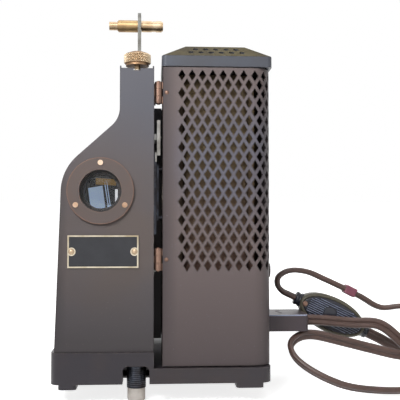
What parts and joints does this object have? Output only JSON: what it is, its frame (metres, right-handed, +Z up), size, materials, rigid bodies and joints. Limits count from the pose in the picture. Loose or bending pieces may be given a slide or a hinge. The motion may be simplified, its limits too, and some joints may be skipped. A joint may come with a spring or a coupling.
{
  "type": "film projector",
  "caption": "Small early cine projector: cast base, housing with lens, pierced lamp house with hinged door, sliding reel arm, belt drive, motor and mains cord.",
  "frame": {"origin": "middle of the footprint, at the height of the elevating foot's underside, about 9 mm below the base's feet", "axes": "+X to the right as seen from the lens side, +Y away from the screen side, +Z up"},
  "size_m": [0.3516, 0.1607, 0.2614],
  "materials": {
    "base_enamel": "satin baked enamel",
    "housing_enamel": "worn satin baked enamel",
    "lamp_enamel": "satin baked enamel",
    "lid_enamel": "satin baked enamel",
    "black_metal": "satin black",
    "steel": "brushed",
    "nickel": "nickel plated",
    "brass": "aged",
    "lens_glass": "polished",
    "bulb_glass": "clear",
    "mirror": "silvered",
    "plug_plastic": "moulded",
    "switch_plastic": "moulded",
    "cord_rubber": "matt",
    "belt": "worn"
  },
  "bodies": {
    "case": {"base": "base_enamel", "motor_cradle": "base_enamel", "mechanism_housing": "housing_enamel", "frame_plate": "housing_enamel", "lamp_house_shell": "lamp_enamel", "bottom_plate": "black_metal", "name_plate": "black_metal", "motor_casing": "black_metal", "arm_guide": "steel", "take_up_bracket": "steel", "mirror_bracket": "steel", "roller_bracket": "steel", "lamp_liner": "steel", "case_screws": "nickel", "mount_screws": "nickel", "gate_plate": "nickel", "framing_bush": "nickel", "condenser": "nickel", "plate_rivets": "brass", "lens_mount": "brass", "door_hinges": "brass", "lamp_socket": "brass", "lamp_bulb": "bulb_glass", "mirror": "mirror", "plug": "plug_plastic", "mains_plug": "plug_plastic", "power_inlet": "plug_plastic", "cord_switch": "switch_plastic", "cord_lead": "cord_rubber", "cord_tail": "cord_rubber", "cord_hank": "cord_rubber", "drive_belt": "belt"},
    "elevating_foot": {"elevating_foot": "nickel"},
    "elevating_screw": {"elevating_screw": "black_metal"},
    "lens": {"lens_barrel": "black_metal", "lens_glasses": "lens_glass"},
    "pressure_plate": {"pressure_plate": "nickel"},
    "film_claw": {"film_claw": "nickel"},
    "motor_rotor": {"motor_shaft": "steel", "inching_knob": "plug_plastic"},
    "main_shaft": {"main_shaft": "steel", "main_pulley": "steel", "worm": "steel"},
    "shutter": {"shutter_shaft": "steel", "shutter_disc": "black_metal"},
    "sprocket": {"sprocket_shaft": "steel", "worm_wheel": "brass", "film_sprocket": "steel"},
    "guide_roller": {"guide_roller": "nickel"},
    "framing_knob": {"framing_knob": "brass", "framing_rod": "brass"},
    "reel_arm": {"reel_arm": "steel", "spindle_bearing": "brass"},
    "reel_spindle": {"reel_spindle": "brass"},
    "reel_catch": {"reel_catch": "steel"},
    "take_up_arm": {"take_up_arm": "steel"},
    "take_up_spindle": {"take_up_spindle": "brass"},
    "lamp_door": {"lamp_door": "lamp_enamel", "door_rivets": "brass"},
    "lamp_lid": {"lamp_lid": "lid_enamel"}
  },
  "joints": [
    {"name": "foot_slide", "type": "slide", "parent": "case", "child": "elevating_foot", "axis": [0, 0, -1], "range_m": [-0.0085, 0.004]},
    {"name": "screw_turn", "type": "hinge", "parent": "elevating_foot", "child": "elevating_screw", "pos_m": [-0.01575, -0.0695, 0.015], "axis": [0, 0, -1], "range_deg": [-2451, 1155]},
    {"name": "lens_focus", "type": "slide", "parent": "case", "child": "lens", "axis": [0, 1, 0], "range_m": [-0.003, 0.002]},
    {"name": "pressure_plate_slide", "type": "slide", "parent": "case", "child": "pressure_plate", "axis": [1, 0, 0], "range_m": [0, 0.002], "stiffness_N_per_m": 400, "springref_m": -0.002},
    {"name": "claw_slide", "type": "slide", "parent": "case", "child": "film_claw", "axis": [0, 0, 1], "range_m": [-0.00762, 0]},
    {"name": "motor_spin", "type": "hinge", "parent": "case", "child": "motor_rotor", "pos_m": [-0.003, 0.042, 0.0544], "axis": [1, 0, 0], "continuous": true},
    {"name": "main_spin", "type": "hinge", "parent": "case", "child": "main_shaft", "pos_m": [-0.03, -0.037, 0.09368], "axis": [1, 0, 0], "continuous": true},
    {"name": "shutter_spin", "type": "hinge", "parent": "case", "child": "shutter", "pos_m": [-0.03, -0.05, 0.1162], "axis": [1, 0, 0], "continuous": true},
    {"name": "sprocket_spin", "type": "hinge", "parent": "case", "child": "sprocket", "pos_m": [-0.0181, -0.05, 0.07978], "axis": [0, 1, 0], "continuous": true},
    {"name": "roller_spin", "type": "hinge", "parent": "case", "child": "guide_roller", "pos_m": [-0.0024, -0.05, 0.1662], "axis": [0, 1, 0], "continuous": true},
    {"name": "framing_turn", "type": "hinge", "parent": "case", "child": "framing_knob", "pos_m": [-0.01575, -0.07, 0.212], "axis": [0, 0, 1], "range_deg": [-180, 180]},
    {"name": "reel_arm_slide", "type": "slide", "parent": "case", "child": "reel_arm", "axis": [0, 0, 1], "range_m": [-0.015, 0.045]},
    {"name": "reel_spin", "type": "hinge", "parent": "reel_arm", "child": "reel_spindle", "pos_m": [-0.01575, -0.011, 0.2519], "axis": [1, 0, 0], "continuous": true},
    {"name": "reel_catch_slide", "type": "slide", "parent": "reel_spindle", "child": "reel_catch", "axis": [0, 0, 1], "range_m": [0, 0.0007]},
    {"name": "take_up_swing", "type": "hinge", "parent": "case", "child": "take_up_arm", "pos_m": [-0.01575, -0.006, 0.107], "axis": [1, 0, 0], "range_deg": [0, 70]},
    {"name": "take_up_spin", "type": "hinge", "parent": "take_up_arm", "child": "take_up_spindle", "pos_m": [-0.01575, 0.0554, 0.09837], "axis": [1, 0, 0], "continuous": true},
    {"name": "lamp_door_swing", "type": "hinge", "parent": "case", "child": "lamp_door", "pos_m": [-0.0024, -0.0754, 0.1], "axis": [0, 0, 1], "range_deg": [-95, 0]},
    {"name": "lid_lift", "type": "slide", "parent": "case", "child": "lamp_lid", "axis": [0, 0, 1], "range_m": [0, 0.015]}
  ],
  "couplings": [
    {"joint": "screw_turn", "follows": "foot_slide", "rad_per_m": 5026.5},
    {"joint": "main_spin", "follows": "motor_spin", "ratio": 0.85149},
    {"joint": "shutter_spin", "follows": "motor_spin", "ratio": -0.85149},
    {"joint": "sprocket_spin", "follows": "motor_spin", "ratio": -0.10644}
  ]
}
